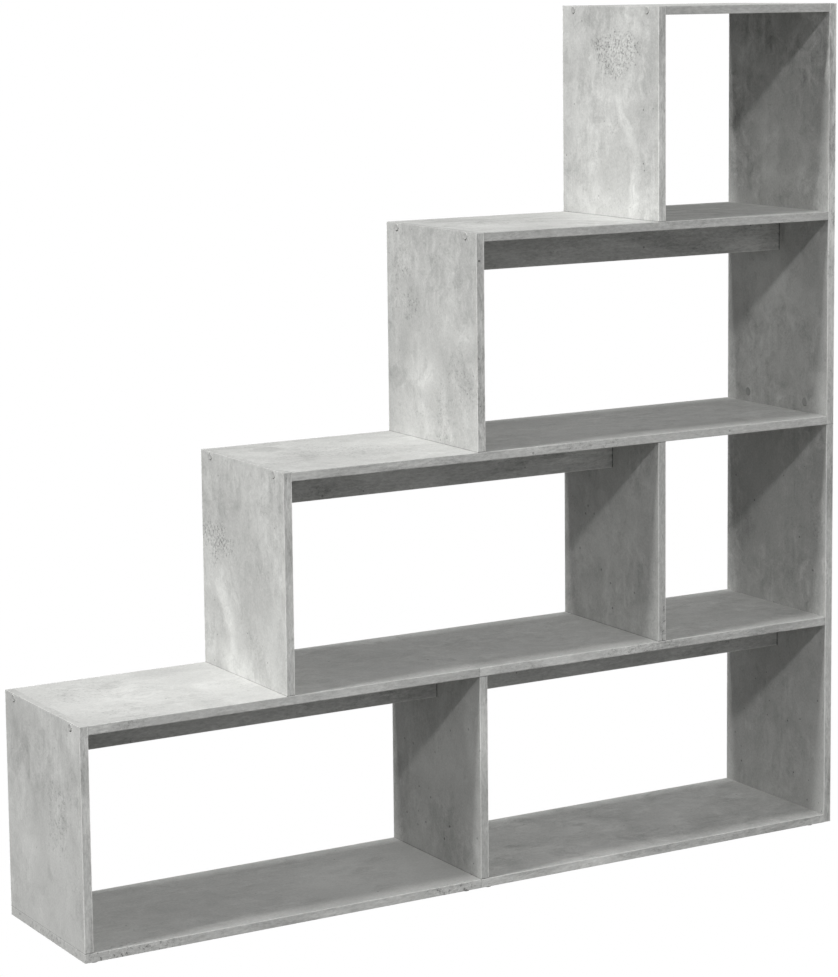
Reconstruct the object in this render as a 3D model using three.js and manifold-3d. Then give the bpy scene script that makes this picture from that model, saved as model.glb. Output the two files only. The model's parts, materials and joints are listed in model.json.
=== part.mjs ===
// A staircase bookshelf in concrete-grey board: four tiers that climb to a tall right side, open front and back.
// Millimetres, +Z up. X runs along the case, Y from its front to its back, and the origin lies on the floor
// under the middle of the case. A level is a lying panel, counted from the bottom panel as level 0.
// A step is the place of an upright along the case, counted from the left end as step 0.
import * as THREE from "three";
import { mergeVertices } from "three/addons/utils/BufferGeometryUtils.js";
import Module from "manifold-3d";

const wasm = await Module();
wasm.setup();

// Case
const caseWidth = 1500;
const caseDepth = 300;
const caseHeight = 1500; // the boards alone, without the glides
const board = 15; // thickness of every board
const railHeight = 64; // the rails on edge under the wide shelves
const jointGap = 0.05; // hairline between two boards that butt
const tierCount = 4;
const dividerSteps = [2, 3]; // where the divider of the lowest tier stands, then that of the tier above it
const splitLevels = 2; // the lowest levels, whose panels come in two halves
const tallLowerTierCount = 2; // tiers beside the lower of the two lengths that the tall right side comes in

// Bores
const boreClearance = 0.3; // between a fastener and the wall and the end of its bore
const cutOverrun = 1; // how far a cutting shape reaches out of the board

// Screws that hold the ends of the lying panels
const screwInset = 35; // from the front and back edges to the screws
const screwLength = 50;
const screwHeadDiameter = 10;
const screwHeadRim = 1.5;
const screwShankDiameter = 7;
const screwTipLength = 4;
const screwTipDiameter = 3;
const socketWidth = 4; // hexagon socket, across its flats
const socketDepth = 2.5;

// Dowels
const dowelDiameter = 8;
const dowelChamfer = 1;
const dowelFaceDepth = 10; // how deep a dowel sits in the face of a board
const dowelEndDepth = 20; // how deep it sits in the end of a board

// Cam locks and bolts that pull the two lengths of the tall side together
const camInset = 64; // from the front and back edges
const camSetting = 34; // from the joint up to the middle of the cam
const camDiameter = 15;
const camBackWall = 2.7; // board left behind the cam's bore
const camSlotWidth = 1.6;
const camSlotLength = 10;
const camSlotDepth = 1.8;
const boltThreadLength = 11; // the threaded end, in the lower length
const boltShankDiameter = 6;
const boltNeckDiameter = 4;
const boltNeckLength = 5;
const boltHeadDiameter = 6.5;
const boltHeadLength = 4;

// Glides under the bottom panel
const glideHeight = 5;
const glideDiameter = 16;
const glideChamfer = 1;
const glideSetback = 18; // from the front and back edges
const glideEndInset = 22; // from the ends of each half of the bottom panel
const nailDiameter = 2.5;
const nailLength = 12;
const nailTipLength = 2;

// Sides of the polygons that stand for circles, and of the screws' sockets
const headSides = 16;
const shankSides = 10;
const socketSides = 6;

// Planes that the boards share
const leftX = -caseWidth / 2;
const rightX = caseWidth / 2;
const frontY = -caseDepth / 2;
const backY = caseDepth / 2;
const tallX = rightX - board; // inner face of the tall right side
const stepRun = (caseWidth - board) / tierCount;
const tierRise = (caseHeight - board) / tierCount;
const uprightX = (step) => leftX + step * stepRun; // left face of the upright at a step
const underZ = (level) => glideHeight + level * tierRise;
const topZ = (level) => underZ(level) + board;
const seamX = uprightX(dividerSteps[0]); // where the halves of the split panels meet
const tallSplitZ = underZ(tallLowerTierCount);
const camThickness = board - camBackWall - boreClearance;

// Directions for pieces that are made along +Z
const upright = new THREE.Euler(0, 0, 0);
const toTheRight = new THREE.Euler(0, Math.PI / 2, 0);
const toTheLeft = new THREE.Euler(0, -Math.PI / 2, 0);

const concreteBoard = new THREE.MeshStandardMaterial({ color: 0xb2b2ae, roughness: 0.75, metalness: 0 });
const zincedSteel = new THREE.MeshStandardMaterial({ color: 0xb8bac0, roughness: 0.35, metalness: 1 });
const beechDowel = new THREE.MeshStandardMaterial({ color: 0xc9a878, roughness: 0.8, metalness: 0 });
const darkPlastic = new THREE.MeshStandardMaterial({ color: 0x3a3a3a, roughness: 0.6, metalness: 0 });

// A closed geometry as a solid that can be cut.
function solidOf(geometry) {
  const bare = geometry.clone();
  bare.deleteAttribute("normal");
  bare.deleteAttribute("uv");
  const merged = mergeVertices(bare);
  return new wasm.Manifold(
    new wasm.Mesh({
      numProp: 3,
      vertProperties: merged.attributes.position.array,
      triVerts: new Uint32Array(merged.index.array),
    }),
  );
}

// The geometry left when every cutter is taken out of a body.
function cutAway(body, cutters) {
  let solid = solidOf(body);
  for (const cutter of cutters) {
    solid = solid.subtract(solidOf(cutter));
  }
  const mesh = solid.getMesh();
  const geometry = new THREE.BufferGeometry();
  geometry.setAttribute("position", new THREE.BufferAttribute(mesh.vertProperties, 3));
  geometry.setIndex(new THREE.BufferAttribute(mesh.triVerts, 1));
  geometry.computeVertexNormals();
  return geometry;
}

// A round piece along +Z from pairs of radius and height that start and end on the axis.
function turned(profile, sides) {
  const points = profile.map(([radius, height]) => new THREE.Vector2(radius, height));
  return new THREE.LatheGeometry(points, sides).rotateX(Math.PI / 2);
}

// A plain bore or rod along +Z.
function rod(diameter, bottom, top, sides) {
  const radius = diameter / 2;
  return turned([[0, bottom], [radius, bottom], [radius, top], [0, top]], sides);
}

const bookshelf = new THREE.Group();
const boards = new THREE.Group();
const fixings = new THREE.Group();
const glides = new THREE.Group();
bookshelf.add(boards, fixings, glides);

// The space that each fastener needs, where it lies in the bookshelf. Every board that it meets is bored by it.
const bores = [];

// Puts a fastener at its place and notes its bore.
function fit(group, name, material, piece, bore, position, direction) {
  const mesh = new THREE.Mesh(piece, material);
  mesh.name = name;
  mesh.position.copy(position);
  mesh.rotation.copy(direction);
  mesh.updateMatrix();
  group.add(mesh);
  bores.push(bore.clone().applyMatrix4(mesh.matrix));
}

// Front and back places of a fastener that keeps one distance from both edges.
function edgePlaces(inset) {
  return [["front", frontY + inset], ["back", backY - inset]];
}

// Screw with a countersunk head and a hexagon socket, from its head at zero to its tip.
function screwPiece() {
  const head = screwHeadDiameter / 2;
  const shank = screwShankDiameter / 2;
  const coneEnd = screwHeadRim + head - shank;
  const body = turned([
    [0, 0],
    [head, 0],
    [head, screwHeadRim],
    [shank, coneEnd],
    [shank, screwLength - screwTipLength],
    [screwTipDiameter / 2, screwLength],
    [0, screwLength],
  ], headSides);
  const socketCorners = socketWidth / Math.cos(Math.PI / socketSides);
  const socket = rod(socketCorners, -cutOverrun, socketDepth, socketSides);
  return cutAway(body, [socket]);
}

function screwBore() {
  const head = screwHeadDiameter / 2 + boreClearance;
  const shank = screwShankDiameter / 2 + boreClearance;
  const rimEnd = screwHeadRim + boreClearance;
  const end = screwLength + boreClearance;
  return turned([
    [0, -cutOverrun],
    [head, -cutOverrun],
    [head, rimEnd],
    [shank, rimEnd + head - shank],
    [shank, end],
    [0, end],
  ], headSides);
}

// Dowel with chamfered ends, from zero to its length.
function dowelPiece(length) {
  const radius = dowelDiameter / 2;
  return turned([
    [0, 0],
    [radius - dowelChamfer, 0],
    [radius, dowelChamfer],
    [radius, length - dowelChamfer],
    [radius - dowelChamfer, length],
    [0, length],
  ], shankSides);
}

function dowelBore(length) {
  return rod(dowelDiameter + 2 * boreClearance, -boreClearance, length + boreClearance, shankSides);
}

// Bolt from its threaded end below the joint, at zero, to its head in the cam.
function boltPiece() {
  const shank = boltShankDiameter / 2;
  const neck = boltNeckDiameter / 2;
  const head = boltHeadDiameter / 2;
  const headStart = camSetting - boltHeadLength / 2;
  return turned([
    [0, -boltThreadLength],
    [shank, -boltThreadLength],
    [shank, headStart - boltNeckLength],
    [neck, headStart - boltNeckLength],
    [neck, headStart],
    [head, headStart],
    [head, headStart + boltHeadLength],
    [0, headStart + boltHeadLength],
  ], shankSides);
}

function boltBore() {
  const thread = boltShankDiameter / 2 + boreClearance;
  const passage = boltHeadDiameter / 2 + boreClearance;
  return turned([
    [0, -boltThreadLength - boreClearance],
    [thread, -boltThreadLength - boreClearance],
    [thread, 0],
    [passage, 0],
    [passage, camSetting],
    [0, camSetting],
  ], shankSides);
}

// Cam lock from its slotted face at zero into the board, open below for the bolt's head.
function camPiece() {
  const body = rod(camDiameter, 0, camThickness, headSides);
  const slot = new THREE.BoxGeometry(camSlotWidth, camSlotLength, 2 * camSlotDepth);
  const headRoom = rod(
    boltHeadDiameter + 2 * boreClearance,
    -boltHeadLength / 2 - boreClearance,
    camDiameter / 2 + cutOverrun,
    shankSides,
  );
  headRoom.rotateY(Math.PI / 2).translate(0, 0, board / 2);
  return cutAway(body, [slot, headRoom]);
}

function camBore() {
  return rod(camDiameter + 2 * boreClearance, -cutOverrun, camThickness + boreClearance, headSides);
}

// Glide from the floor at zero up to its nail's tip.
function glidePiece() {
  const radius = glideDiameter / 2;
  const nail = nailDiameter / 2;
  const seat = glideHeight - jointGap;
  return turned([
    [0, 0],
    [radius - glideChamfer, 0],
    [radius, glideChamfer],
    [radius, seat],
    [nail, seat],
    [nail, seat + nailLength - nailTipLength],
    [0, seat + nailLength],
  ], headSides);
}

function glideBore() {
  return rod(
    nailDiameter + 2 * boreClearance,
    glideHeight - cutOverrun,
    glideHeight + nailLength + boreClearance,
    shankSides,
  );
}

// Screws through the left sides, into the shelf or top panel of each tier.
function addLeftScrews() {
  const piece = screwPiece();
  const bore = screwBore();
  for (let tier = 1; tier <= tierCount; tier += 1) {
    for (const [edge, y] of edgePlaces(screwInset)) {
      const head = new THREE.Vector3(uprightX(tier - 1), y, underZ(tier) + board / 2);
      fit(fixings, `side_screw_tier_${tier}_${edge}`, zincedSteel, piece, bore, head, toTheRight);
    }
  }
}

// Screws through the tall right side, into the right end of every level.
function addRightScrews() {
  const piece = screwPiece();
  const bore = screwBore();
  for (let level = 0; level <= tierCount; level += 1) {
    for (const [edge, y] of edgePlaces(screwInset)) {
      const head = new THREE.Vector3(rightX, y, underZ(level) + board / 2);
      fit(fixings, `tall_side_screw_level_${level}_${edge}`, zincedSteel, piece, bore, head, toTheLeft);
    }
  }
}

// Dowels that stand in a panel and locate the foot of the left side on it.
function addFootDowels() {
  const length = dowelFaceDepth + dowelEndDepth;
  const piece = dowelPiece(length);
  const bore = dowelBore(length);
  for (let tier = 1; tier <= tierCount; tier += 1) {
    const start = new THREE.Vector3(uprightX(tier - 1) + board / 2, 0, topZ(tier - 1) - dowelFaceDepth);
    fit(fixings, `foot_dowel_tier_${tier}`, beechDowel, piece, bore, start, upright);
  }
}

// Dowel along X at the height of a tier's rail, from the left face of one board past another.
function addRailDowel(name, tier, startX, length) {
  const start = new THREE.Vector3(startX, 0, underZ(tier) - railHeight / 2);
  fit(fixings, name, beechDowel, dowelPiece(length), dowelBore(length), start, toTheRight);
}

// The rails of one tier, each between two steps, with a dowel at every end.
// Where two rails meet the same divider, one long dowel goes through it into both.
function addRails(tier, steps) {
  const endLength = dowelFaceDepth + dowelEndDepth;
  const last = steps.length - 1;
  for (let i = 0; i < last; i += 1) {
    const suffix = last > 1 ? ["_left", "_right"][i] : "";
    const startX = uprightX(steps[i]) + board + jointGap;
    const endX = uprightX(steps[i + 1]) - jointGap;
    const bottom = underZ(tier) - railHeight;
    addBoard(`rail_tier_${tier}${suffix}`, startX, endX, bottom, underZ(tier) - jointGap, -board / 2, board / 2);
  }
  addRailDowel(`rail_dowel_tier_${tier}_left`, tier, uprightX(steps[0]) + board - dowelFaceDepth, endLength);
  addRailDowel(`rail_dowel_tier_${tier}_right`, tier, uprightX(steps[last]) - dowelEndDepth, endLength);
  if (last > 1) {
    addRailDowel(`rail_dowel_tier_${tier}_middle`, tier, uprightX(steps[1]) - dowelEndDepth, board + 2 * dowelEndDepth);
  }
}

function addCams() {
  const jointX = tallX + board / 2;
  for (const [edge, y] of edgePlaces(camInset)) {
    const camFace = new THREE.Vector3(tallX, y, tallSplitZ + camSetting);
    const boltJoint = new THREE.Vector3(jointX, y, tallSplitZ);
    fit(fixings, `cam_lock_${edge}`, zincedSteel, camPiece(), camBore(), camFace, toTheRight);
    fit(fixings, `cam_bolt_${edge}`, zincedSteel, boltPiece(), boltBore(), boltJoint, upright);
  }
}

// Four glides under each half of the bottom panel, two by two at its ends.
function addGlides() {
  const ends = [leftX + glideEndInset, seamX - glideEndInset, seamX + glideEndInset, tallX - glideEndInset];
  const piece = glidePiece();
  const bore = glideBore();
  ends.forEach((x, i) => {
    for (const [edge, y] of edgePlaces(glideSetback)) {
      fit(glides, `glide_${i + 1}_${edge}`, darkPlastic, piece, bore, new THREE.Vector3(x, y, 0), upright);
    }
  });
}

// The outlines of the boards, to be bored once every fastener has its place.
const outlines = [];

function addBoard(name, x0, x1, z0, z1, y0 = frontY, y1 = backY) {
  const box = new THREE.Box3(new THREE.Vector3(x0, y0, z0), new THREE.Vector3(x1, y1, z1));
  outlines.push({ name, box });
}

function levelName(level) {
  if (level === 0) {
    return "bottom_panel";
  }
  return level === tierCount ? "top_panel" : `shelf_${level}`;
}

// Lying panels. The bottom panel runs under the lowest left side, and every other one butts against its side.
function addPanels() {
  for (let level = 0; level <= tierCount; level += 1) {
    const name = levelName(level);
    const startX = level === 0 ? leftX : uprightX(level - 1) + board + jointGap;
    const endX = tallX - jointGap;
    if (level < splitLevels) {
      addBoard(`${name}_left`, startX, seamX - jointGap, underZ(level), topZ(level));
      addBoard(`${name}_right`, seamX, endX, underZ(level), topZ(level));
    } else {
      addBoard(name, startX, endX, underZ(level), topZ(level));
    }
  }
}

// Left sides, one to a tier. Each stands on the panel below and ends level with the panel that it carries.
function addSides() {
  for (let tier = 1; tier <= tierCount; tier += 1) {
    const x = uprightX(tier - 1);
    addBoard(`side_tier_${tier}`, x, x + board, topZ(tier - 1) + jointGap, topZ(tier));
  }
}

function addDividers() {
  dividerSteps.forEach((step, i) => {
    const x = uprightX(step);
    addBoard(`divider_tier_${i + 1}`, x, x + board, topZ(i) + jointGap, underZ(i + 1) - jointGap);
  });
}

function addTallSide() {
  addBoard("tall_side_lower", tallX, rightX, underZ(0), tallSplitZ - jointGap);
  addBoard("tall_side_upper", tallX, rightX, tallSplitZ, topZ(tierCount));
}

// Makes every board, cut by the bores that reach into it, with its own origin at its middle.
function makeBoards() {
  const reaches = bores.map((bore) => new THREE.Box3().setFromBufferAttribute(bore.attributes.position));
  for (const { name, box } of outlines) {
    const size = box.getSize(new THREE.Vector3());
    const middle = box.getCenter(new THREE.Vector3());
    const cutters = bores.filter((bore, i) => reaches[i].intersectsBox(box));
    const local = cutters.map((cutter) => cutter.clone().translate(-middle.x, -middle.y, -middle.z));
    const mesh = new THREE.Mesh(cutAway(new THREE.BoxGeometry(size.x, size.y, size.z), local), concreteBoard);
    mesh.name = name;
    mesh.position.copy(middle);
    boards.add(mesh);
  }
}

addPanels();
addSides();
addDividers();
addTallSide();
addRails(1, [0, dividerSteps[0], tierCount]);
addRails(2, [1, dividerSteps[1]]);
addRails(3, [2, tierCount]);
addLeftScrews();
addRightScrews();
addFootDowels();
addCams();
addGlides();
makeBoards();

export default bookshelf;
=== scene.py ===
# Looks of the staircase bookshelf: the concrete finish of its boards, the caps over its fixings, and the
# floor, light and camera. Metres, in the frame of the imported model: X along the case to its tall side,
# Y from front to back, Z up.
import json
import math
from collections import namedtuple

import bmesh
import bpy
from mathutils import Matrix, Vector


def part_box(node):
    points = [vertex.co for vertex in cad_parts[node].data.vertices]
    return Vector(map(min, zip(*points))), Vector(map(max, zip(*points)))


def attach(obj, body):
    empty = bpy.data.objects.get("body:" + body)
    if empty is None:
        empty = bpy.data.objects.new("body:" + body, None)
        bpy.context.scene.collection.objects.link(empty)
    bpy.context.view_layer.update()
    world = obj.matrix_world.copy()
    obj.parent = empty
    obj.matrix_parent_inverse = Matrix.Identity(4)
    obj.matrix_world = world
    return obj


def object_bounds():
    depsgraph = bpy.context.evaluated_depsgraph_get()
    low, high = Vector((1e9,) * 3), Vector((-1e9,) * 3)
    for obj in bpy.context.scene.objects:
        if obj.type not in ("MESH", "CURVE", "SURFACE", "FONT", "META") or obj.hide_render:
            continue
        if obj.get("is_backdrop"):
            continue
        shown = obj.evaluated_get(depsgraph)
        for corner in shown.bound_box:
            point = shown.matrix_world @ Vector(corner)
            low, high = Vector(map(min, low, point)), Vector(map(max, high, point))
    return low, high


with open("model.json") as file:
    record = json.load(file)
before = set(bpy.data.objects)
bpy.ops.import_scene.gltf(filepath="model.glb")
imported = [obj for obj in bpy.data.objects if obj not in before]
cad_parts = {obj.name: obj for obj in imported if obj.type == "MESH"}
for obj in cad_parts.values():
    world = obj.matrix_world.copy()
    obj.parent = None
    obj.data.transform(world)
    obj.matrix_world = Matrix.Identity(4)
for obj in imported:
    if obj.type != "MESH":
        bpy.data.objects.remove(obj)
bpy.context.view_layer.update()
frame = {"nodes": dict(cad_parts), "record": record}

MM = 0.001
BLACK = (0.0, 0.0, 0.0, 1.0)
WHITE = (1.0, 1.0, 1.0, 1.0)

# Camera, at the photograph's viewing angle
PICTURE_HEIGHT = 977  # pixels
FOCAL_LENGTH = 2966.3  # pixels
SENSOR_SIZE = 36.0  # millimetres, along the longer side of the picture
CAMERA_PLACE = Vector((-2.59718, -4.35805, 1.555))
CAMERA_YAW = 0.53184  # radians towards +X from straight along +Y
CAMERA_DROP = 0.13139  # radians below level
CAMERA_ROLL = -0.01066  # radians
CAMERA_SHIFT = -0.12  # share of the picture's height
CAMERA_REACH = 200.0

# Shade and gloss of the concrete-look board
BOARD_TINT = (0.995, 1.0, 0.972)
BOARD_SHADE = 0.485
BOARD_ROUGHNESS = 0.62
BOARD_SPECULAR = 0.35

# Layers of the board's pattern: features per metre, levels of detail, strength of each finer level, and how
# much the shade swings
Layer = namedtuple("Layer", "scale detail roughness swing", defaults=(0.0,))
CLOUDS = Layer(8.0, 2.0, 0.5, 0.5)
MOTTLE = Layer(30.0, 7.0, 0.72, 1.15)
STREAKS = Layer(120.0, 4.0, 0.6, 0.35)
FLECKS = Layer(260.0, 3.0, 0.75, 0.55)
FISSURES = Layer(24.0, 6.0, 0.7, -0.17)
FISSURE_WIDTH = 0.011  # in the noise's own values
NOISE_MEAN = 0.5

# Layers that say where the pattern is busy and where its grains lie, and one that bends the others, with a
# swing in metres
PLACES = Layer(8.0, 4.0, 0.62)
GRIT = Layer(190.0, 3.0, 0.72)
WARP = Layer(14.0, 3.0, 0.6, 0.07)

# Step in the pattern from one board to the next, and how the pattern is drawn out along a board: the
# smaller, the longer
SEED_STEP = Vector((3.1, 1.7, 2.3))
CLOUD_STRETCH = 0.75
STREAK_STRETCH = 0.08
BAND_STRETCH = 0.3

# Liveliness of the pattern outside its busy places, and on the edge bands
CALM = 0.4
BAND_SWING = 1.8

# Steps: the value at which something begins to show, and the one at which it shows in full
Step = namedtuple("Step", "start end")
BUSY_PLACES = Step(0.4, 0.58)
STREAKED_PLACES = Step(0.46, 0.58)
STRAY_GRAIN_PLACES = Step(0.4, 0.3)
DARK_GRIT = Step(0.49, 0.39)
PALE_GRIT = Step(0.52, 0.63)
GRAIN_COVER = Step(0.0, 0.7)
MARK_EDGE = Step(1.35, 0.45)

# Shade of the grains, how dense they are where none are listed, and how they thin out
DARK_GRAIN = -0.42
PALE_GRAIN = 0.2
STRAY_GRAIN = 0.4
SPARSE = 0.07

# Unevenness of the marks in shade and in outline, and of the places of stray grains, and how deep a mark
# goes, which is through the whole board
MARK_GRAIN = 2.6
MARK_WOBBLE = 2.4
STRAY_WOBBLE = 0.2
MARK_DEPTH = 1.0

# Pits: cells per metre, share of the cells that have one, radius of the widest as a share of a cell, and
# shade
PIT_CELLS = 34.0
PIT_SHARE = 0.7
PIT_RADIUS = 0.08
PIT_SHADE = -0.45

# Relief of the boards, and how much pits, dark grains and mottle stand in or out of it
RELIEF_DEPTH = 0.4 * MM
RELIEF_STRENGTH = 0.25
PIT_RELIEF = -1.0
GRAIN_RELIEF = -0.35
MOTTLE_RELIEF = 0.25

# Edges of the boards: rounding, a pale line along the arrises that is a painted highlight, the painted
# shade that takes its place along an underside, depth of the edge bands in the pattern, and shade of a left
# side's top end
ARRIS_WIDTH = 0.45 * MM
ARRIS_STEPS = 2
ARRIS_ANGLE = math.radians(40)
HIGHLIGHT_LINE_WIDTH = 1.6 * MM
ARRIS_HIGHLIGHT_LIFT = 0.22
UNDERSIDE_SHADE_LIFT = -0.1
BAND_DEPTH = 0.6 * MM
END_TONE = 0.86

# Dark lines where a board meets another, partly the joint's gap and partly painted contact shade, and the
# share of a dark line or of a painted highlight line that has its full shade
Seam = namedtuple("Seam", "width shade")
UPRIGHT_SEAM = Seam(1.5 * MM, -0.45)
LAID_SEAM = Seam(1.5 * MM, -0.1)
TALL_SEAM = Seam(1.5 * MM, -0.12)
RAIL_SEAM = Seam(2.5 * MM, -0.4)
CORE_SHARE = 1 / 3

# Boards whose left or lower end meets no other board, and those whose right or upper end meets none
FREE_LOW_ENDS = ("bottom_panel_left", "tall_side_lower")
FREE_HIGH_ENDS = ("side_tier_1", "side_tier_2", "side_tier_3", "side_tier_4", "tall_side_upper")

# Shade of a board's front and back bands against its faces
BAND_TONES = {
    "bottom_panel_left": 1.17,
    "bottom_panel_right": 1.16,
    "shelf_1_left": 1.135,
    "shelf_1_right": 1.145,
    "shelf_2": 1.17,
    "shelf_3": 1.05,
    "top_panel": 0.94,
    "side_tier_1": 1.22,
    "side_tier_2": 1.12,
    "side_tier_3": 1.33,
    "side_tier_4": 1.12,
    "divider_tier_2": 1.08,
    "tall_side_lower": 1.08,
    "tall_side_upper": 1.04,
}

# Boards that are paler or darker than the rest
TONES = {
    "bottom_panel_left": 0.95,
    "bottom_panel_right": 0.95,
    "shelf_1_left": 0.96,
    "shelf_1_right": 0.95,
    "shelf_2": 0.94,
    "shelf_3": 0.92,
    "rail_tier_1_right": 1.08,
    "rail_tier_2": 1.1,
    "rail_tier_3": 1.1,
    "side_tier_1": 0.98,
    "side_tier_3": 0.97,
    "side_tier_4": 1.04,
}

# How lively the pattern is on boards that differ from the rest
LIVELINESS = {
    "bottom_panel_left": 0.6,
    "bottom_panel_right": 1.1,
    "rail_tier_1_left": 0.8,
    "rail_tier_1_right": 0.8,
    "rail_tier_2": 0.8,
    "rail_tier_3": 0.8,
    "shelf_1_left": 0.78,
    "shelf_1_right": 0.78,
    "shelf_2": 0.82,
    "shelf_3": 0.75,
    "top_panel": 0.75,
    "side_tier_2": 1.05,
    "side_tier_3": 1.15,
    "tall_side_lower": 0.85,
    "tall_side_upper": 1.4,
}

# Marks that the photograph shows on the boards, in millimetres: blotches of the decor, and on the dividers
# painted light towards the top front and in the middle and painted shade along the back edge. On an upright
# board a mark's place is its distance behind the front edge and below the top, and on a lying one from the
# left end and behind the front edge. The turn is in degrees, and the lift is how much paler a mark is, or
# darker where it is less than nought. Grains are dark and pale specks, and their lift is how dense they
# are.
Mark = namedtuple("Mark", "across down half_across half_down turn lift")
MARKS_AND_PAINTED_LIGHT = {
    "side_tier_4": (
        Mark(100, 150, 40, 34, 0, 0.1),
        Mark(105, 205, 15, 60, 30, 0.22),
        Mark(75, 320, 16, 60, 0, 0.24),
        Mark(180, 350, 110, 40, 0, 0.09),
        Mark(60, 85, 14, 30, 0, -0.1),
        Mark(195, 200, 34, 8, 0, -0.12),
        Mark(20, 90, 30, 100, 0, -0.08),
        Mark(288, 118, 20, 24, 0, -0.09),
        Mark(215, 8, 110, 24, 0, -0.06),
    ),
    "side_tier_3": (
        Mark(165, 255, 60, 38, 0, 0.12),
        Mark(115, 300, 14, 40, 0, 0.12),
        Mark(45, 175, 36, 18, 15, 0.12),
        Mark(270, 270, 26, 24, 0, -0.1),
        Mark(60, 235, 60, 20, 0, -0.07),
    ),
    "side_tier_2": (
        Mark(250, 205, 26, 40, 35, 0.12),
        Mark(215, 275, 17, 60, 30, 0.2),
        Mark(190, 350, 70, 34, 0, 0.22),
        Mark(290, 330, 30, 60, 0, 0.16),
        Mark(165, 60, 18, 30, 0, -0.09),
        Mark(40, 60, 34, 50, 0, -0.1),
        Mark(95, 350, 36, 26, 0, -0.1),
    ),
    "side_tier_1": (
        Mark(22, 30, 28, 26, 0, 0.14),
        Mark(20, 150, 30, 50, 0, 0.09),
        Mark(215, 245, 40, 26, 0, 0.12),
        Mark(235, 60, 36, 50, 0, -0.08),
        Mark(130, 268, 20, 14, -40, -0.12),
        Mark(85, 190, 55, 70, 0, 0.06),
    ),
    "tall_side_lower": (
        Mark(150, 170, 220, 180, 0, -0.17),
        Mark(20, 100, 30, 90, 0, -0.08),
        Mark(250, 450, 60, 80, 0, 0.1),
        Mark(60, 250, 40, 60, 0, -0.06),
        Mark(0, 180, 8, 200, 0, 0.17),
        Mark(150, 560, 100, 60, 0, -0.06),
        Mark(0, 560, 8, 180, 0, -0.05),
    ),
    "tall_side_upper": (
        Mark(150, 150, 200, 150, 0, -0.06),
        Mark(184, 224, 50, 50, 0, 0.1),
        Mark(122, 275, 40, 24, 0, -0.09),
        Mark(184, 310, 40, 30, 0, 0.08),
        Mark(20, 190, 30, 190, 0, -0.12),
        Mark(210, 550, 150, 110, 0, 0.12),
        Mark(60, 700, 60, 60, 0, 0.09),
        Mark(14, 70, 12, 90, 0, -0.14),
        Mark(0, 200, 8, 200, 0, 0.08),
        Mark(230, 450, 90, 80, 0, 0.09),
    ),
    "bottom_panel_left": (Mark(590, 130, 150, 110, 0, 0.12),),
    # On the dividers: painted light towards the top front and in the middle, painted shade along the back
    # edge
    "divider_tier_1": (
        Mark(20, 100, 34, 90, 0, 0.24),
        Mark(170, 130, 140, 110, 0, 0.07),
        Mark(290, 270, 18, 90, 0, -0.12),
    ),
    "divider_tier_2": (
        Mark(100, 200, 90, 60, 0, 0.08),
        Mark(290, 270, 18, 90, 0, -0.16),
    ),
    "shelf_1_left": (
        Mark(190, 150, 200, 160, 0, 0.06),
        Mark(285, 140, 40, 40, -30, 0.14),
        Mark(150, 140, 50, 50, 0, 0.08),
        Mark(147, 235, 26, 26, 0, -0.08),
        Mark(235, 30, 36, 30, 0, -0.1),
        Mark(250, 270, 50, 30, 0, -0.06),
    ),
    "shelf_2": (
        Mark(80, 240, 34, 28, 40, -0.18),
        Mark(105, 150, 26, 80, 15, -0.1),
        Mark(280, 175, 80, 60, 0, 0.07),
        Mark(850, 150, 260, 140, 0, 0.08),
    ),
    "shelf_3": (
        Mark(110, 225, 90, 50, 35, -0.11),
        Mark(80, 110, 40, 50, 0, 0.08),
        Mark(300, 80, 70, 60, 0, 0.08),
    ),
}
GRAINS = {
    "side_tier_4": (
        Mark(125, 82, 72, 36, 0, 1.0),
        Mark(140, 215, 40, 20, 0, 0.45),
        Mark(150, 345, 160, 24, 0, 0.3),
    ),
    "side_tier_3": (
        Mark(245, 75, 42, 36, 0, 0.5),
        Mark(235, 145, 52, 34, 0, 0.5),
        Mark(55, 270, 50, 80, 0, 0.4),
        Mark(120, 320, 26, 60, 0, 0.5),
        Mark(220, 340, 60, 30, 0, 0.3),
    ),
    "side_tier_2": (
        Mark(245, 150, 64, 34, 0, 1.0),
        Mark(110, 310, 50, 24, 0, 0.4),
        Mark(60, 70, 40, 40, 0, 0.3),
    ),
    "side_tier_1": (
        Mark(100, 175, 60, 80, 0, 0.5),
        Mark(60, 260, 70, 40, 0, 0.3),
    ),
    "bottom_panel_left": (
        Mark(80, 0, 110, 22, 0, 0.5),
        Mark(690, 0, 60, 20, 0, 0.5),
        Mark(0, 150, 12, 190, 0, 0.6),
    ),
    "shelf_1_left": (
        Mark(60, 0, 60, 16, 0, 0.3),
        Mark(330, 120, 30, 60, 0, 0.4),
        Mark(90, 200, 110, 80, 0, 0.42),
        Mark(80, 60, 70, 40, 0, 0.42),
    ),
    "shelf_1_right": (Mark(330, 0, 120, 16, 0, 0.4),),
    "shelf_2": (
        Mark(560, 0, 120, 16, 0, 0.35),
        Mark(330, 90, 40, 60, 0, 0.3),
        Mark(170, 150, 120, 90, 0, 0.5),
    ),
    "shelf_3": (
        Mark(30, 60, 30, 60, 0, 0.3),
        Mark(150, 150, 150, 90, 0, 0.4),
    ),
}

# Round caps over the screws and the cam locks, and their profile from the middle to the foot, as shares of
# the radius and the height
SCREW_CAP_DIAMETER = 13 * MM
CAM_CAP_DIAMETER = 16 * MM
CAP_HEIGHT = 1.2 * MM
CAP_SIDES = 40
CAP_PROFILE_SHARES = (
    (0.0, 0.58),
    (0.3, 0.61),
    (0.55, 0.72),
    (0.7, 0.9),
    (0.78, 1.0),
    (0.85, 0.96),
    (0.92, 0.76),
    (0.97, 0.42),
    (1.0, 0.0),
    (0.0, 0.0),
)

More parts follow.
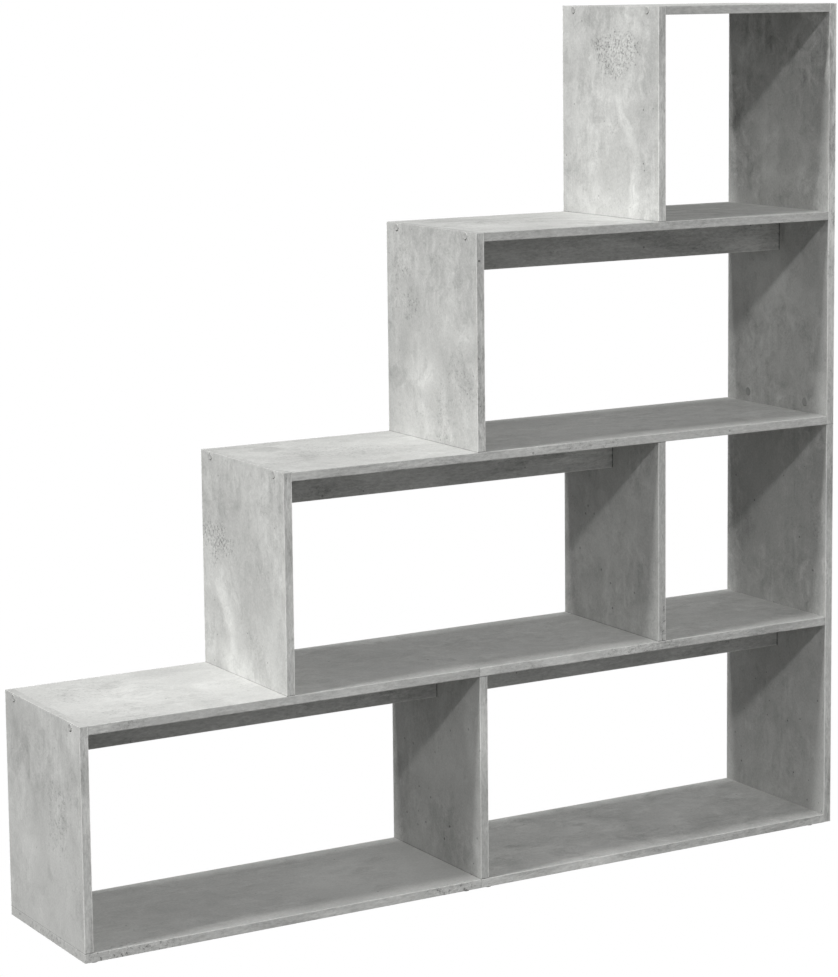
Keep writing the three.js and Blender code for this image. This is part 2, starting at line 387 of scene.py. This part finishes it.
# Finishes of the fixings and their caps: colour, grain, roughness, metal, and how the grain is drawn out
Finish = namedtuple("Finish", "color grain roughness metallic stretch", defaults=(0.0, (1.0, 1.0, 1.0)))
CAP_GRAIN = Layer(600.0, 4.0, 0.65, 0.4)
FINISHES = {
    "zinced_steel": Finish((0.62, 0.63, 0.65), Layer(700.0, 3.0, 0.6, 0.3), 0.35, metallic=1.0),
    "beech": Finish((0.6, 0.43, 0.26), Layer(900.0, 4.0, 0.6, 0.6), 0.7, stretch=(0.1, 1.0, 1.0)),
    "dark_plastic": Finish((0.04, 0.04, 0.042), Layer(1500.0, 2.0, 0.5, 0.5), 0.5),
    "screw_cap": Finish((0.4, 0.402, 0.39), CAP_GRAIN, 0.5),
    "cam_cap": Finish((0.35, 0.352, 0.342), CAP_GRAIN, 0.5),
}
FIXING_GLOSS_SWING = 0.5
FIXING_RELIEF_DEPTH = 0.1 * MM
FIXING_RELIEF_STRENGTH = 0.2

# Far lamps: direction from the case, light that falls on it, and width as a share of the distance
Lamp = namedtuple("Lamp", "name towards irradiance width_share")
LAMPS = (
    Lamp("lamp_above_left", (-0.83, -0.015, 1.0), 3.43, 0.19),
    Lamp("lamp_front", (-0.35, -1.0, 0.826), 1.23, 0.06),
    Lamp("lamp_behind_right", (1.0, 0.8, 0.0), 1.6, 0.1),
)
LAMP_DISTANCE = 20.0
LIT_POINT = Vector((0.0, 0.0, 0.75))

# Light of the room: an even part, and parts that grow towards the front, the top and the left
ROOM_GLOW = 0.033
GLOWS = (
    ((0.0, -1.0, 0.0), 0.387),
    ((0.0, 0.0, 1.0), 0.426),
    ((-1.0, 0.0, 0.0), 0.18),
)

# Floor and backdrop
FLOOR_REACH = 30.0
BACKDROP_RADIUS = 40.0
BACKDROP_SEGMENTS = 32
BACKDROP_RINGS = 16


class Nodes:
    """Adds nodes to a node tree and links them."""

    def __init__(self, tree):
        self.tree = tree
        tree.nodes.clear()

    def put(self, socket, value):
        """Sets a socket to a plain value, or links it to another node's output."""
        if isinstance(value, bpy.types.NodeSocket):
            self.tree.links.new(value, socket)
        else:
            socket.default_value = value

    def add(self, kind, values=None, **settings):
        """Adds a node with these values on its inputs."""
        node = self.tree.nodes.new(kind)
        for key, setting in settings.items():
            setattr(node, key, setting)
        for key, value in (values or {}).items():
            self.put(node.inputs[key], value)
        return node

    def math(self, operation, *values):
        return self.add("ShaderNodeMath", dict(enumerate(values)), operation=operation).outputs[0]

    def vector(self, operation, *values):
        node = self.add("ShaderNodeVectorMath", dict(enumerate(values)), operation=operation)
        return node.outputs["Value"] if operation in ("LENGTH", "DOT_PRODUCT") else node.outputs["Vector"]

    def sum(self, *terms):
        total = terms[0]
        for term in terms[1:]:
            total = self.math("ADD", total, term)
        return total

    def ramp(self, value, step, before=0.0, after=1.0):
        """Goes smoothly from one number to another as a value passes through a step."""
        values = {
            "Value": value,
            "From Min": step.start,
            "From Max": step.end,
            "To Min": before,
            "To Max": after,
        }
        return self.add("ShaderNodeMapRange", values, interpolation_type="SMOOTHSTEP").outputs["Result"]


class Shader(Nodes):
    """The nodes of one material, ending in a Principled shader."""

    def __init__(self, name):
        self.material = bpy.data.materials.new(name)
        self.material.use_nodes = True
        super().__init__(self.material.node_tree)
        shader = self.add("ShaderNodeBsdfPrincipled")
        self.surface = shader.inputs
        self.add("ShaderNodeOutputMaterial", {"Surface": shader.outputs["BSDF"]})
        self.position = self.add("ShaderNodeTexCoord").outputs["Object"]

    def noise(self, where, layer, output="Fac"):
        values = {
            "Vector": where,
            "Scale": layer.scale,
            "Detail": layer.detail,
            "Roughness": layer.roughness,
        }
        return self.add("ShaderNodeTexNoise", values).outputs[output]

    def off_mean(self, noise):
        """How far a noise is from its mean."""
        return self.math("SUBTRACT", noise, NOISE_MEAN)

    def swing(self, noise, layer):
        """The noise's swing about nought, as much as its layer says."""
        return self.math("MULTIPLY", self.off_mean(noise), layer.swing)

    def tinted(self, tint, shade):
        """A colour that is a tint times a shade that varies."""
        node = self.add("ShaderNodeVectorMath", {0: Vector(tint), "Scale": shade}, operation="SCALE")
        return node.outputs["Vector"]

    def relief(self, height, depth, strength):
        """Gives the surface fine relief."""
        bump = self.add("ShaderNodeBump", {"Height": height, "Strength": strength, "Distance": depth})
        self.put(self.surface["Normal"], bump.outputs["Normal"])


class Concrete(Shader):
    """The concrete finish of one board, whose streaks run along its length."""

    def __init__(self, node, number):
        super().__init__(f"concrete_{node}")
        self.node = node
        self.low, self.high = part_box(node)
        size = self.high - self.low
        self.length = max(range(3), key=lambda axis: size[axis])
        self.laid = size.y > size.z
        self.upright = size.z > size.x
        self.liveliness = LIVELINESS.get(node, 1.0)
        self.spot = self.add("ShaderNodeSeparateXYZ", {0: self.position}).outputs
        self.set_out(number)
        self.dress()

    def set_out(self, number):
        """Finds each point's place in the pattern, and the noises that several parts of it share."""
        # Edge bands are strips of their own, and a rail's broad faces count as such too
        off_middle = self.math("ABSOLUTE", self.spot["Y"])
        self.band = self.math("GREATER_THAN", off_middle, self.high.y - BAND_DEPTH)
        stretch = {axis: 1.0 for axis in range(3)}
        stretch[self.length] = self.math("MULTIPLY_ADD", self.band, BAND_STRETCH - 1.0, 1.0)
        stretch = self.add("ShaderNodeCombineXYZ", stretch).outputs["Vector"]
        self.plain = self.vector("ADD", self.position, SEED_STEP * number)
        self.here = self.vector("MULTIPLY", self.plain, stretch)

        means = Vector((NOISE_MEAN, NOISE_MEAN, NOISE_MEAN))
        bend = self.vector("SUBTRACT", self.noise(self.here, WARP, "Color"), means)
        bend = self.vector("MULTIPLY", bend, Vector((WARP.swing, WARP.swing, WARP.swing)))
        self.warped = self.vector("ADD", self.here, bend)
        self.marked = self.vector("ADD", self.position, bend)
        self.soft = self.drawn_out(self.warped, CLOUD_STRETCH)

        self.mottle = self.noise(self.soft, MOTTLE)
        self.places = self.noise(self.warped, PLACES)
        self.wobble = self.math("MULTIPLY", self.off_mean(self.mottle), MARK_WOBBLE)

    def drawn_out(self, where, factor):
        """Places that draw the pattern out along the board."""
        stretch = Vector((1.0, 1.0, 1.0))
        stretch[self.length] = factor
        return self.vector("MULTIPLY", where, stretch)

    def layers(self):
        """Shades of the pattern's layers."""
        clouds = self.noise(self.soft, CLOUDS)
        streaks = self.noise(self.drawn_out(self.here, STREAK_STRETCH), STREAKS)
        flecks = self.noise(self.here, FLECKS)
        ridges = self.math("ABSOLUTE", self.off_mean(self.noise(self.warped, FISSURES)))
        fissures = self.ramp(ridges, Step(FISSURE_WIDTH, 0.0))
        busy = self.ramp(self.places, BUSY_PLACES, CALM * self.liveliness, self.liveliness)
        streaked = self.ramp(self.places, STREAKED_PLACES)
        return (
            self.math("MULTIPLY", self.swing(clouds, CLOUDS), self.liveliness),
            self.math("MULTIPLY", busy, self.swing(self.mottle, MOTTLE)),
            self.math("MULTIPLY", fissures, self.math("MULTIPLY", busy, FISSURES.swing)),
            self.math("MULTIPLY", streaked, self.swing(streaks, STREAKS)),
            self.swing(flecks, FLECKS),
        )

    def oval(self, mark):
        """A mark's lift inside an uneven oval that goes through the board, and nought outside."""
        across, down = mark.across * MM, mark.down * MM
        half_across, half_down = mark.half_across * MM, mark.half_down * MM
        turn = math.radians(mark.turn)
        if self.upright:
            centre = Vector((self.low.x, self.low.y + across, self.high.z - down))
            half = Vector((MARK_DEPTH, half_across, half_down))
            turns = Vector((turn, 0.0, 0.0))
        else:
            centre = Vector((self.low.x + across, self.low.y + down, self.high.z))
            half = Vector((half_across, half_down, MARK_DEPTH))
            turns = Vector((0.0, 0.0, turn))
        values = {"Vector": self.vector("SUBTRACT", self.marked, centre), "Rotation": turns}
        turned = self.add("ShaderNodeVectorRotate", values, rotation_type="EULER_XYZ").outputs["Vector"]
        reach = self.vector("LENGTH", self.vector("DIVIDE", turned, half))
        mask = self.ramp(self.math("ADD", reach, self.wobble), MARK_EDGE)
        return self.math("MULTIPLY", mask, mark.lift)

    def marks(self):
        """Shade of the marks, some of them painted light and painted shade, uneven as the mottle is."""
        lifts = self.sum(0.0, *(self.oval(mark) for mark in MARKS_AND_PAINTED_LIGHT.get(self.node, ())))
        grain = self.math("MULTIPLY_ADD", self.off_mean(self.mottle), MARK_GRAIN, 1.0)
        return self.math("MULTIPLY", lifts, grain)

    def grains(self):
        """Shade and relief of the grains, at the places of the photograph or else at random."""
        if self.node in GRAINS:
            density = 0.0
            for mark in GRAINS[self.node]:
                density = self.math("MAXIMUM", density, self.oval(mark))
        else:
            spread = self.math("ADD", self.places, self.math("MULTIPLY", self.wobble, STRAY_WOBBLE))
            density = self.ramp(spread, STRAY_GRAIN_PLACES, 0.0, STRAY_GRAIN)
        grit = self.noise(self.plain, GRIT)
        thin = self.math("MULTIPLY", self.math("SUBTRACT", 1.0, density), SPARSE)
        dark = self.ramp(self.math("ADD", grit, thin), DARK_GRIT)
        pale = self.ramp(self.math("SUBTRACT", grit, thin), PALE_GRIT)
        cover = self.ramp(density, GRAIN_COVER)
        shade = self.math("MULTIPLY_ADD", dark, DARK_GRAIN, self.math("MULTIPLY", pale, PALE_GRAIN))
        relief = self.math("MULTIPLY", dark, GRAIN_RELIEF)
        return self.math("MULTIPLY", cover, shade), self.math("MULTIPLY", cover, relief)

    def pits(self):
        """One inside a few small round pits, and nought elsewhere."""
        cells = self.add("ShaderNodeTexVoronoi", {"Vector": self.plain, "Scale": PIT_CELLS})
        chance = self.add("ShaderNodeSeparateColor", {"Color": cells.outputs["Color"]}).outputs["Red"]
        radius = self.ramp(chance, Step(1.0 - PIT_SHARE, 1.0), 0.0, PIT_RADIUS)
        return self.math("LESS_THAN", cells.outputs["Distance"], radius)

    def joint(self):
        """The kind of seam where the board meets another."""
        if self.node.startswith("rail"):
            return RAIL_SEAM
        if self.node.startswith("tall_side"):
            return TALL_SEAM
        return LAID_SEAM if self.laid else UPRIGHT_SEAM

    def seams(self, width):
        """One at the ends that meet another board, and nought elsewhere."""
        along, low_end, high_end = self.spot[self.length], self.low[self.length], self.high[self.length]
        line = Step(width, width * CORE_SHARE)
        seam = 0.0
        if self.node not in FREE_LOW_ENDS:
            seam = self.ramp(self.math("SUBTRACT", along, low_end), line)
        if self.node not in FREE_HIGH_ENDS:
            seam = self.math("MAXIMUM", seam, self.ramp(self.math("SUBTRACT", high_end, along), line))
        return seam

    def edge_distance(self):
        """Distance from a point on the board to the nearest of its edges."""
        off = self.vector("ABSOLUTE", self.vector("SUBTRACT", self.position, (self.low + self.high) / 2))
        inward = self.vector("SUBTRACT", (self.high - self.low) / 2, off)
        x, y, z = self.add("ShaderNodeSeparateXYZ", {0: inward}).outputs
        lesser = self.math("MINIMUM", x, y)
        greater = self.math("MAXIMUM", x, y)
        return self.math("MAXIMUM", lesser, self.math("MINIMUM", greater, z))

    def edges(self):
        """Shade of the seams, partly painted contact shade, and elsewhere the painted highlight along the
        arrises, which turns to painted shade along the underside of a lying board.
        """
        joint = self.joint()
        seam = self.seams(joint.width)
        highlight_line = self.ramp(self.edge_distance(), Step(HIGHLIGHT_LINE_WIDTH, HIGHLIGHT_LINE_WIDTH * CORE_SHARE))
        highlight_line = self.math("MULTIPLY", highlight_line, self.math("SUBTRACT", 1.0, seam))
        # Painted highlight on the arrises, turning to painted shade along the underside of a lying board
        lift = ARRIS_HIGHLIGHT_LIFT
        if self.laid:
            lift = self.ramp(self.spot["Z"], Step(self.low.z, self.high.z), UNDERSIDE_SHADE_LIFT, ARRIS_HIGHLIGHT_LIFT)
        return self.math("MULTIPLY", highlight_line, lift), self.math("MULTIPLY", seam, joint.shade)

    def tone(self):
        """Tone of the whole board, of its edge bands and of a left side's top end."""
        band_tone = BAND_TONES.get(self.node, 1.0)
        tone = self.math("ADD", 1.0, self.math("MULTIPLY", self.band, band_tone - 1.0))
        if self.node.startswith("side_tier"):
            end = self.math("GREATER_THAN", self.spot["Z"], self.high.z - BAND_DEPTH)
            tone = self.math("ADD", tone, self.math("MULTIPLY", end, END_TONE - 1.0))
        return self.math("MULTIPLY", tone, BOARD_SHADE * TONES.get(self.node, 1.0))

    def dress(self):
        """Puts the parts of the pattern together in the surface's colour, gloss and relief."""
        grain_shade, grain_relief = self.grains()
        pits = self.pits()
        shade = self.sum(*self.layers(), grain_shade, self.marks(), *self.edges())
        liveliness = self.math("MULTIPLY_ADD", self.band, BAND_SWING - 1.0, 1.0)
        shade = self.math("MULTIPLY_ADD", shade, liveliness, 1.0)
        shade = self.math("MULTIPLY_ADD", pits, PIT_SHADE, shade)
        shade = self.math("MULTIPLY", shade, self.tone())
        roughness = self.math("SUBTRACT", BOARD_ROUGHNESS, self.swing(self.mottle, MOTTLE))
        height = self.sum(
            self.math("MULTIPLY", pits, PIT_RELIEF),
            grain_relief,
            self.math("MULTIPLY", self.mottle, MOTTLE_RELIEF),
        )

        self.put(self.surface["Base Color"], self.tinted(BOARD_TINT, shade))
        self.put(self.surface["Roughness"], roughness)
        self.surface["Specular IOR Level"].default_value = BOARD_SPECULAR
        self.relief(height, RELIEF_DEPTH, RELIEF_STRENGTH)


def give(obj, material):
    """Puts one material on every slot of a piece."""
    if not obj.data.materials:
        obj.data.materials.append(material)
    for slot in obj.material_slots:
        slot.material = material


def soften(obj):
    """Rounds the arrises of a board."""
    bevel = obj.modifiers.new("arris", "BEVEL")
    bevel.width = ARRIS_WIDTH
    bevel.segments = ARRIS_STEPS
    bevel.limit_method = "ANGLE"
    bevel.angle_limit = ARRIS_ANGLE
    bevel.use_clamp_overlap = False


# Boards
slots = {row["node"]: row["material_slot"] for row in frame["record"]["subparts"]}
boards = sorted(node for node, slot in slots.items() if slot == "concrete_board")
for number, node in enumerate(boards, start=1):
    board = frame["nodes"][node]
    give(board, Concrete(node, number).material)
    soften(board)


# Fixings
def fixing_finish(name, finish):
    """A finish with a fine grain in its shade, gloss and relief."""
    shader = Shader(name)
    where = shader.vector("MULTIPLY", shader.position, Vector(finish.stretch))
    grain = shader.noise(where, finish.grain)
    swing = shader.swing(grain, finish.grain)
    gloss_swing = shader.math("MULTIPLY", swing, FIXING_GLOSS_SWING)
    shader.put(shader.surface["Base Color"], shader.tinted(finish.color, shader.math("ADD", 1.0, swing)))
    shader.put(shader.surface["Roughness"], shader.math("ADD", finish.roughness, gloss_swing))
    shader.surface["Metallic"].default_value = finish.metallic
    shader.relief(grain, FIXING_RELIEF_DEPTH, FIXING_RELIEF_STRENGTH)
    return shader.material


finishes = {name: fixing_finish(name, finish) for name, finish in FINISHES.items()}
for node, slot in slots.items():
    if slot in finishes:
        give(frame["nodes"][node], finishes[slot])


# Caps over the fixings
def cap(name, centre, outward, diameter, finish):
    """A shallow round cap that lies on a board, turned from its profile."""
    body = bmesh.new()
    rings = []
    for radius_share, height_share in CAP_PROFILE_SHARES:
        reach = radius_share * diameter / 2
        height = outward * height_share * CAP_HEIGHT
        count = CAP_SIDES if reach else 1
        turns = [2 * math.pi * side / CAP_SIDES for side in range(count)]
        places = [(height, reach * math.cos(turn), reach * math.sin(turn)) for turn in turns]
        rings.append([body.verts.new(place) for place in places])
    for first, second in zip(rings, rings[1:]):
        for side in range(CAP_SIDES):
            after = (side + 1) % CAP_SIDES
            corners = [first[side % len(first)], first[after % len(first)]]
            corners += [second[after % len(second)], second[side % len(second)]]
            body.faces.new(list(dict.fromkeys(corners)))
    bmesh.ops.recalc_face_normals(body, faces=body.faces)
    mesh = bpy.data.meshes.new(name)
    body.to_mesh(mesh)
    body.free()
    mesh.transform(Matrix.Translation(centre))
    mesh.shade_smooth()
    obj = bpy.data.objects.new(name, mesh)
    bpy.context.collection.objects.link(obj)
    give(obj, finish)
    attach(obj, "root")


for node in sorted(frame["nodes"]):
    low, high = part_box(node)
    middle = (low + high) / 2
    left = Vector((low.x, middle.y, middle.z))
    right = Vector((high.x, middle.y, middle.z))
    if node.startswith("side_screw"):
        cap(node.replace("screw", "cap"), left, -1, SCREW_CAP_DIAMETER, finishes["screw_cap"])
    if node.startswith("tall_side_screw"):
        cap(node.replace("screw", "cap"), right, 1, SCREW_CAP_DIAMETER, finishes["screw_cap"])
    if node.startswith("cam_lock"):
        cap(node.replace("lock", "cap"), left, -1, CAM_CAP_DIAMETER, finishes["cam_cap"])


# Floor and backdrop, which only the camera sees
def stage(name, mesh):
    glow = Shader(name)
    glow.surface["Base Color"].default_value = BLACK
    glow.surface["Specular IOR Level"].default_value = 0.0
    glow.surface["Emission Color"].default_value = WHITE
    glow.surface["Emission Strength"].default_value = 1.0
    obj = bpy.data.objects.new(name, mesh)
    bpy.context.collection.objects.link(obj)
    give(obj, glow.material)
    obj.visible_diffuse = False
    obj.visible_glossy = False
    obj.visible_transmission = False
    obj.visible_shadow = False
    obj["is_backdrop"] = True


floor_mesh = bpy.data.meshes.new("floor")
corners = ((-1, -1), (1, -1), (1, 1), (-1, 1))
floor_mesh.from_pydata([(FLOOR_REACH * x, FLOOR_REACH * y, 0.0) for x, y in corners], [], [(0, 1, 2, 3)])
stage("floor", floor_mesh)

backdrop_mesh = bpy.data.meshes.new("backdrop")
ball = bmesh.new()
bmesh.ops.create_uvsphere(
    ball,
    u_segments=BACKDROP_SEGMENTS,
    v_segments=BACKDROP_RINGS,
    radius=BACKDROP_RADIUS,
)
ball.to_mesh(backdrop_mesh)
ball.free()
stage("backdrop", backdrop_mesh)

# Lamps
for lamp in LAMPS:
    data = bpy.data.lights.new(lamp.name, "AREA")
    data.size = lamp.width_share * LAMP_DISTANCE
    # An area lamp gives this irradiance at a distance that is large against its width
    data.energy = lamp.irradiance * math.pi * LAMP_DISTANCE ** 2
    obj = bpy.data.objects.new(lamp.name, data)
    direction = Vector(lamp.towards).normalized()
    obj.location = LIT_POINT + direction * LAMP_DISTANCE
    obj.rotation_mode = "QUATERNION"
    obj.rotation_quaternion = (-direction).to_track_quat("-Z", "Y")
    bpy.context.collection.objects.link(obj)

# Light of the room
scene = bpy.context.scene
scene.world = bpy.data.worlds.new("room")
scene.world.use_nodes = True
room = Nodes(scene.world.node_tree)
towards = room.add("ShaderNodeTexCoord").outputs["Generated"]
glow = ROOM_GLOW
for direction, strength in GLOWS:
    share = room.math("MAXIMUM", room.vector("DOT_PRODUCT", towards, Vector(direction)), 0.0)
    glow = room.math("MULTIPLY_ADD", share, strength, glow)
sky = room.add("ShaderNodeBackground", {"Strength": glow})
room.add("ShaderNodeOutputWorld", {"Surface": sky.outputs["Background"]})

# Colours as they are lit, with no film look
scene.view_settings.view_transform = "Standard"
scene.view_settings.look = "None"

# Camera
camera_data = bpy.data.cameras.new("camera")
camera_data.sensor_width = SENSOR_SIZE
camera_data.lens = FOCAL_LENGTH * SENSOR_SIZE / PICTURE_HEIGHT
camera_data.shift_y = CAMERA_SHIFT
camera_data.clip_end = CAMERA_REACH
camera = bpy.data.objects.new("camera", camera_data)
level_right = Vector((math.cos(CAMERA_YAW), -math.sin(CAMERA_YAW), 0.0))
level_forward = Vector((math.sin(CAMERA_YAW), math.cos(CAMERA_YAW), 0.0))
forward = level_forward * math.cos(CAMERA_DROP) - Vector((0.0, 0.0, math.sin(CAMERA_DROP)))
level_up = level_right.cross(forward)
right = level_right * math.cos(CAMERA_ROLL) + level_up * math.sin(CAMERA_ROLL)
up = right.cross(forward)
axes = Matrix((right, up, -forward)).transposed()
camera.matrix_world = Matrix.Translation(CAMERA_PLACE) @ axes.to_4x4()
bpy.context.collection.objects.link(camera)
scene.camera = camera

low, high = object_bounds()
